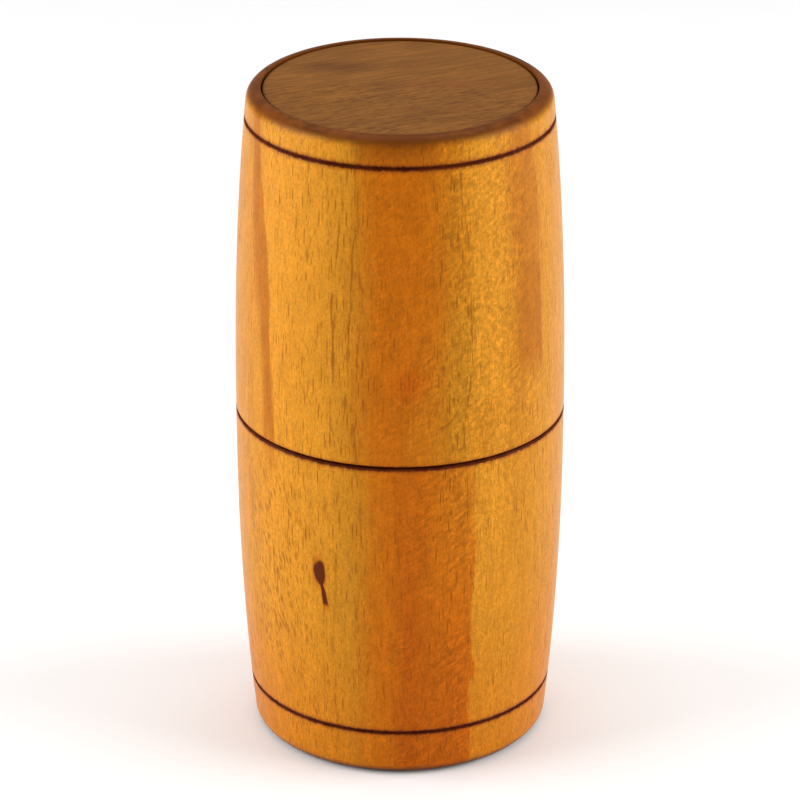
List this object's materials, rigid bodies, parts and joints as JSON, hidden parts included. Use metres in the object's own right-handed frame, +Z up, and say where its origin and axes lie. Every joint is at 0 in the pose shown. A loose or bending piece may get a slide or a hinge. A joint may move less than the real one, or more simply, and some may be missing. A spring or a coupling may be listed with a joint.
{
  "type": "nutcracker",
  "caption": "Screw nutcracker shaped like a small wooden barrel: the upper half screws down over a threaded sleeve and presses the nut on an anvil.",
  "frame": {"origin": "centre of the underside, on the barrel's axis", "axes": "+Z up the barrel's axis, towards the inlaid disc in its top"},
  "size_m": [0.07, 0.07, 0.1452],
  "materials": {
    "honey_wood": "lacquered, satin gloss, vertical grain",
    "pale_wood": "plain turned wood, waxed",
    "brown_wood": "lacquered side-grain inlay",
    "steel": "turned stainless steel",
    "zinc_steel": "bright zinc plated",
    "brass": "turned brass"
  },
  "bodies": {
    "lower_half": {"lower_barrel": "honey_wood", "threaded_sleeve": "honey_wood", "anvil_plate": "steel", "anvil_screw_1": "zinc_steel", "anvil_screw_2": "zinc_steel", "anvil_screw_3": "zinc_steel"},
    "press": {"press_foot": "steel", "tie_bolt": "zinc_steel"},
    "upper_half": {"upper_barrel": "honey_wood", "top_disc": "brown_wood", "plunger": "pale_wood", "foot_bush": "brass", "web_bush": "brass", "head_washer": "zinc_steel", "dowel_1": "pale_wood", "dowel_2": "pale_wood"}
  },
  "joints": [
    {"name": "press_travel", "type": "slide", "parent": "lower_half", "child": "press", "axis": [0, 0, 1], "range_m": [0, 0.0401]},
    {"name": "barrel_turn", "type": "hinge", "parent": "press", "child": "upper_half", "pos_m": [0, 0, 0.0736], "axis": [0, 0, 1], "range_deg": [0, 1800]}
  ],
  "couplings": [
    {"joint": "press_travel", "follows": "barrel_turn", "m_per_rad": 0.0012732}
  ]
}
